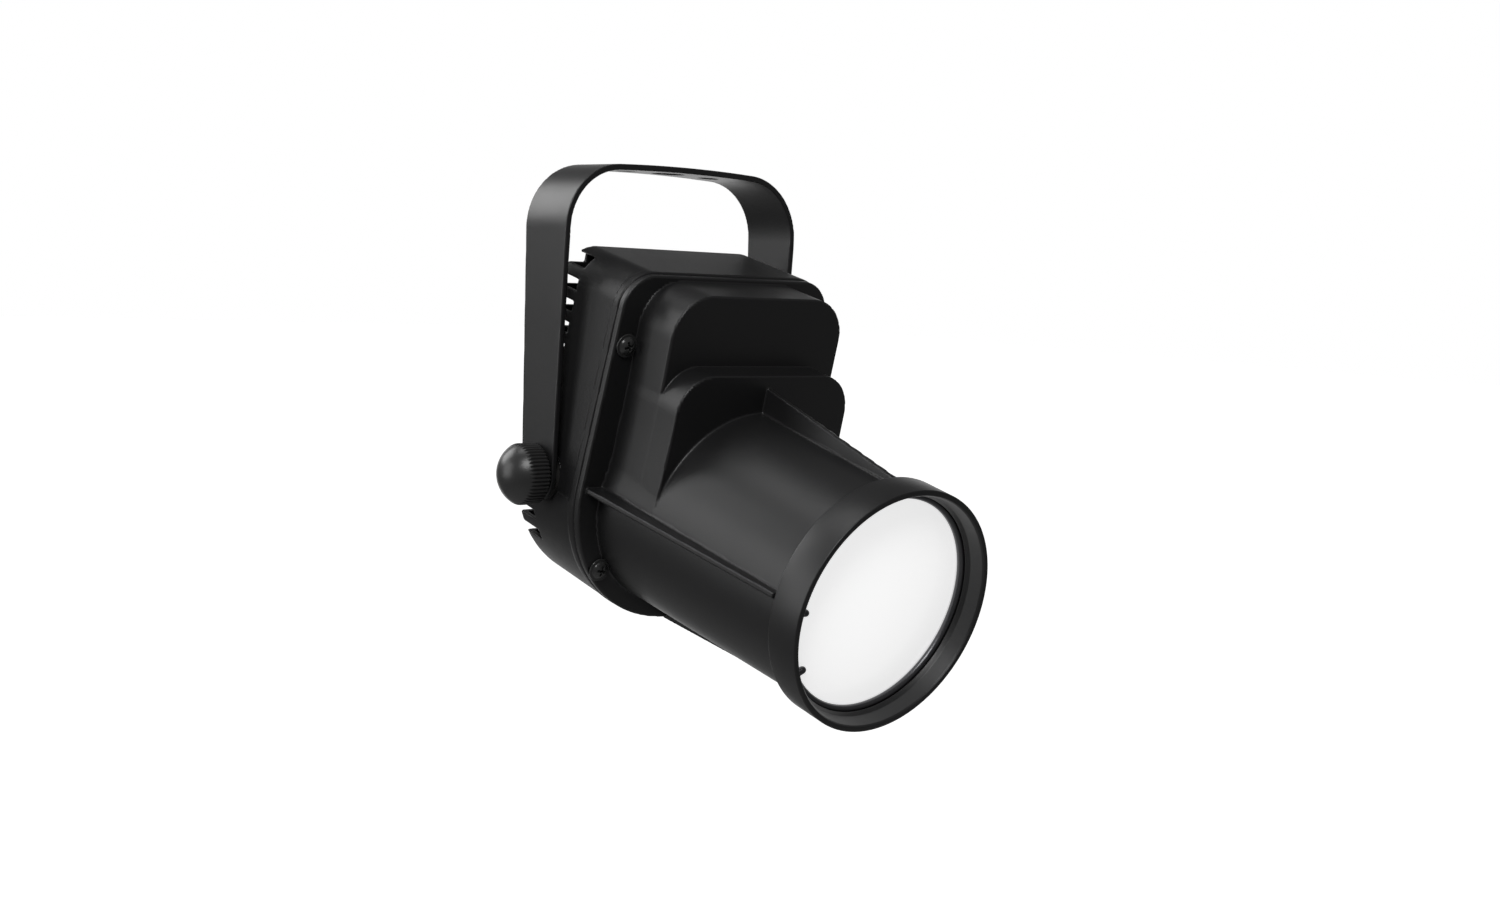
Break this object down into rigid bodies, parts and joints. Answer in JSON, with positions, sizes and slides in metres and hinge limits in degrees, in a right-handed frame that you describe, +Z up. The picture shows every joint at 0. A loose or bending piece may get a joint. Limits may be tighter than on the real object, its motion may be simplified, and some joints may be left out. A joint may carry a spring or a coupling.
{
  "type": "ellipsoidal spotlight",
  "caption": "Compact profile spotlight: hanging yoke with clamp knobs, vented rear housing, stepped front moulding with ribbed barrel, sliding lens tube and gobo wheel.",
  "frame": {"origin": "centre of the yoke's hanging hole, on the outer face of the crossbar", "axes": "+Z up out of the hanging hole, the beam leaves towards -Y and 13 degrees down, +X to the right seen from behind the lamp"},
  "size_m": [0.16, 0.1977, 0.2182],
  "materials": {
    "housing_black": "satin",
    "yoke_black": "satin",
    "knob_plastic": "satin",
    "screw_black": "gloss",
    "steel": "satin",
    "brass": "satin",
    "rubber": "matte",
    "fibre": "matte",
    "lens_glass": "gloss",
    "clip_wire": "satin",
    "mirror_metal": "polished",
    "bare_aluminium": "satin",
    "circuit_board": "satin",
    "white_board": "satin",
    "phosphor": "satin",
    "black_plastic": "satin",
    "dark_parts": "satin",
    "panel_film": "matte",
    "red_window": "gloss",
    "button_grey": "satin",
    "rocker_black": "gloss"
  },
  "bodies": {
    "yoke": {"yoke_bracket": "yoke_black"},
    "head": {"rear_housing": "housing_black", "front_housing": "housing_black", "flange_screws": "screw_black", "pivot_inserts": "brass", "friction_discs": "fibre", "focus_guide_screw": "screw_black", "heat_sink": "bare_aluminium", "heat_sink_screws": "steel", "led_board": "white_board", "led_emitter": "phosphor", "reflector": "mirror_metal", "condenser_holder": "bare_aluminium", "condenser_lens": "lens_glass", "gate_plate": "bare_aluminium", "gate_screws": "steel", "gobo_motor": "steel", "motor_screws": "steel", "driver_board": "circuit_board", "driver_parts": "dark_parts", "driver_screws": "steel", "control_board": "circuit_board", "tact_switches": "dark_parts", "display_module": "dark_parts", "control_screws": "steel", "control_panel": "panel_film", "display_window": "red_window", "fan_frame": "black_plastic", "fan_guard": "steel", "fan_screws": "screw_black", "power_inlet": "black_plastic", "inlet_pins": "steel", "switch_frame": "black_plastic"},
    "left_washer": {"left_washer": "steel"},
    "right_washer": {"right_washer": "steel"},
    "left_knob": {"left_knob": "knob_plastic", "left_stud": "steel"},
    "right_knob": {"right_knob": "knob_plastic", "right_stud": "steel"},
    "focus": {"focus_tube": "housing_black", "focus_ring": "rubber", "lens_gasket": "rubber", "front_lens": "lens_glass", "lens_circlip": "clip_wire"},
    "gobo_wheel": {"gobo_shaft": "steel", "gobo_wheel": "bare_aluminium", "gobos": "steel", "gobo_clips": "steel"},
    "fan": {"fan_rotor": "black_plastic"},
    "rocker": {"switch_rocker": "rocker_black"},
    "fuse": {"fuse_drawer": "black_plastic", "fuse_link": "steel"},
    "menu_1": {"menu_button_1": "button_grey"},
    "menu_2": {"menu_button_2": "button_grey"},
    "menu_3": {"menu_button_3": "button_grey"},
    "menu_4": {"menu_button_4": "button_grey"}
  },
  "joints": [
    {"name": "head_tilt", "type": "hinge", "parent": "yoke", "child": "head", "pos_m": [0, 0, -0.132], "axis": [1, 0, 0], "range_deg": [-65, 77]},
    {"name": "left_knob_travel", "type": "slide", "parent": "head", "child": "left_washer", "axis": [-1, 0, 0], "range_m": [0, 0.002]},
    {"name": "left_knob_turn", "type": "hinge", "parent": "left_washer", "child": "left_knob", "pos_m": [-0.068, 0, -0.132], "axis": [-1, 0, 0], "range_deg": [0, 720]},
    {"name": "right_knob_travel", "type": "slide", "parent": "head", "child": "right_washer", "axis": [1, 0, 0], "range_m": [0, 0.002]},
    {"name": "right_knob_turn", "type": "hinge", "parent": "right_washer", "child": "right_knob", "pos_m": [0.068, 0, -0.132], "axis": [1, 0, 0], "range_deg": [0, 720]},
    {"name": "focus_slide", "type": "slide", "parent": "head", "child": "focus", "axis": [0, -0.9744, -0.225], "range_m": [0, 0.012]},
    {"name": "gobo_turn", "type": "hinge", "parent": "head", "child": "gobo_wheel", "pos_m": [0, -0.04215, -0.113], "axis": [0, -0.9744, -0.225], "continuous": true},
    {"name": "fan_spin", "type": "hinge", "parent": "head", "child": "fan", "pos_m": [0, 0.01166, -0.13136], "axis": [0, 0.9744, 0.225], "continuous": true},
    {"name": "rocker_tip", "type": "hinge", "parent": "head", "child": "rocker", "pos_m": [0.031, 0.00824, -0.09212], "axis": [1, 0, 0], "range_deg": [0, 20]},
    {"name": "fuse_pull", "type": "slide", "parent": "head", "child": "fuse", "axis": [0, 0.9744, 0.225], "range_m": [0, 0.014]},
    {"name": "menu_1_press", "type": "slide", "parent": "head", "child": "menu_1", "axis": [0, -0.9744, -0.225], "range_m": [0, 0.0008], "stiffness_N_per_m": 400},
    {"name": "menu_2_press", "type": "slide", "parent": "head", "child": "menu_2", "axis": [0, -0.9744, -0.225], "range_m": [0, 0.0008], "stiffness_N_per_m": 400},
    {"name": "menu_3_press", "type": "slide", "parent": "head", "child": "menu_3", "axis": [0, -0.9744, -0.225], "range_m": [0, 0.0008], "stiffness_N_per_m": 400},
    {"name": "menu_4_press", "type": "slide", "parent": "head", "child": "menu_4", "axis": [0, -0.9744, -0.225], "range_m": [0, 0.0008], "stiffness_N_per_m": 400}
  ],
  "couplings": [
    {"joint": "left_knob_turn", "follows": "left_knob_travel", "rad_per_m": 6283.2},
    {"joint": "right_knob_turn", "follows": "right_knob_travel", "rad_per_m": 6283.2}
  ]
}
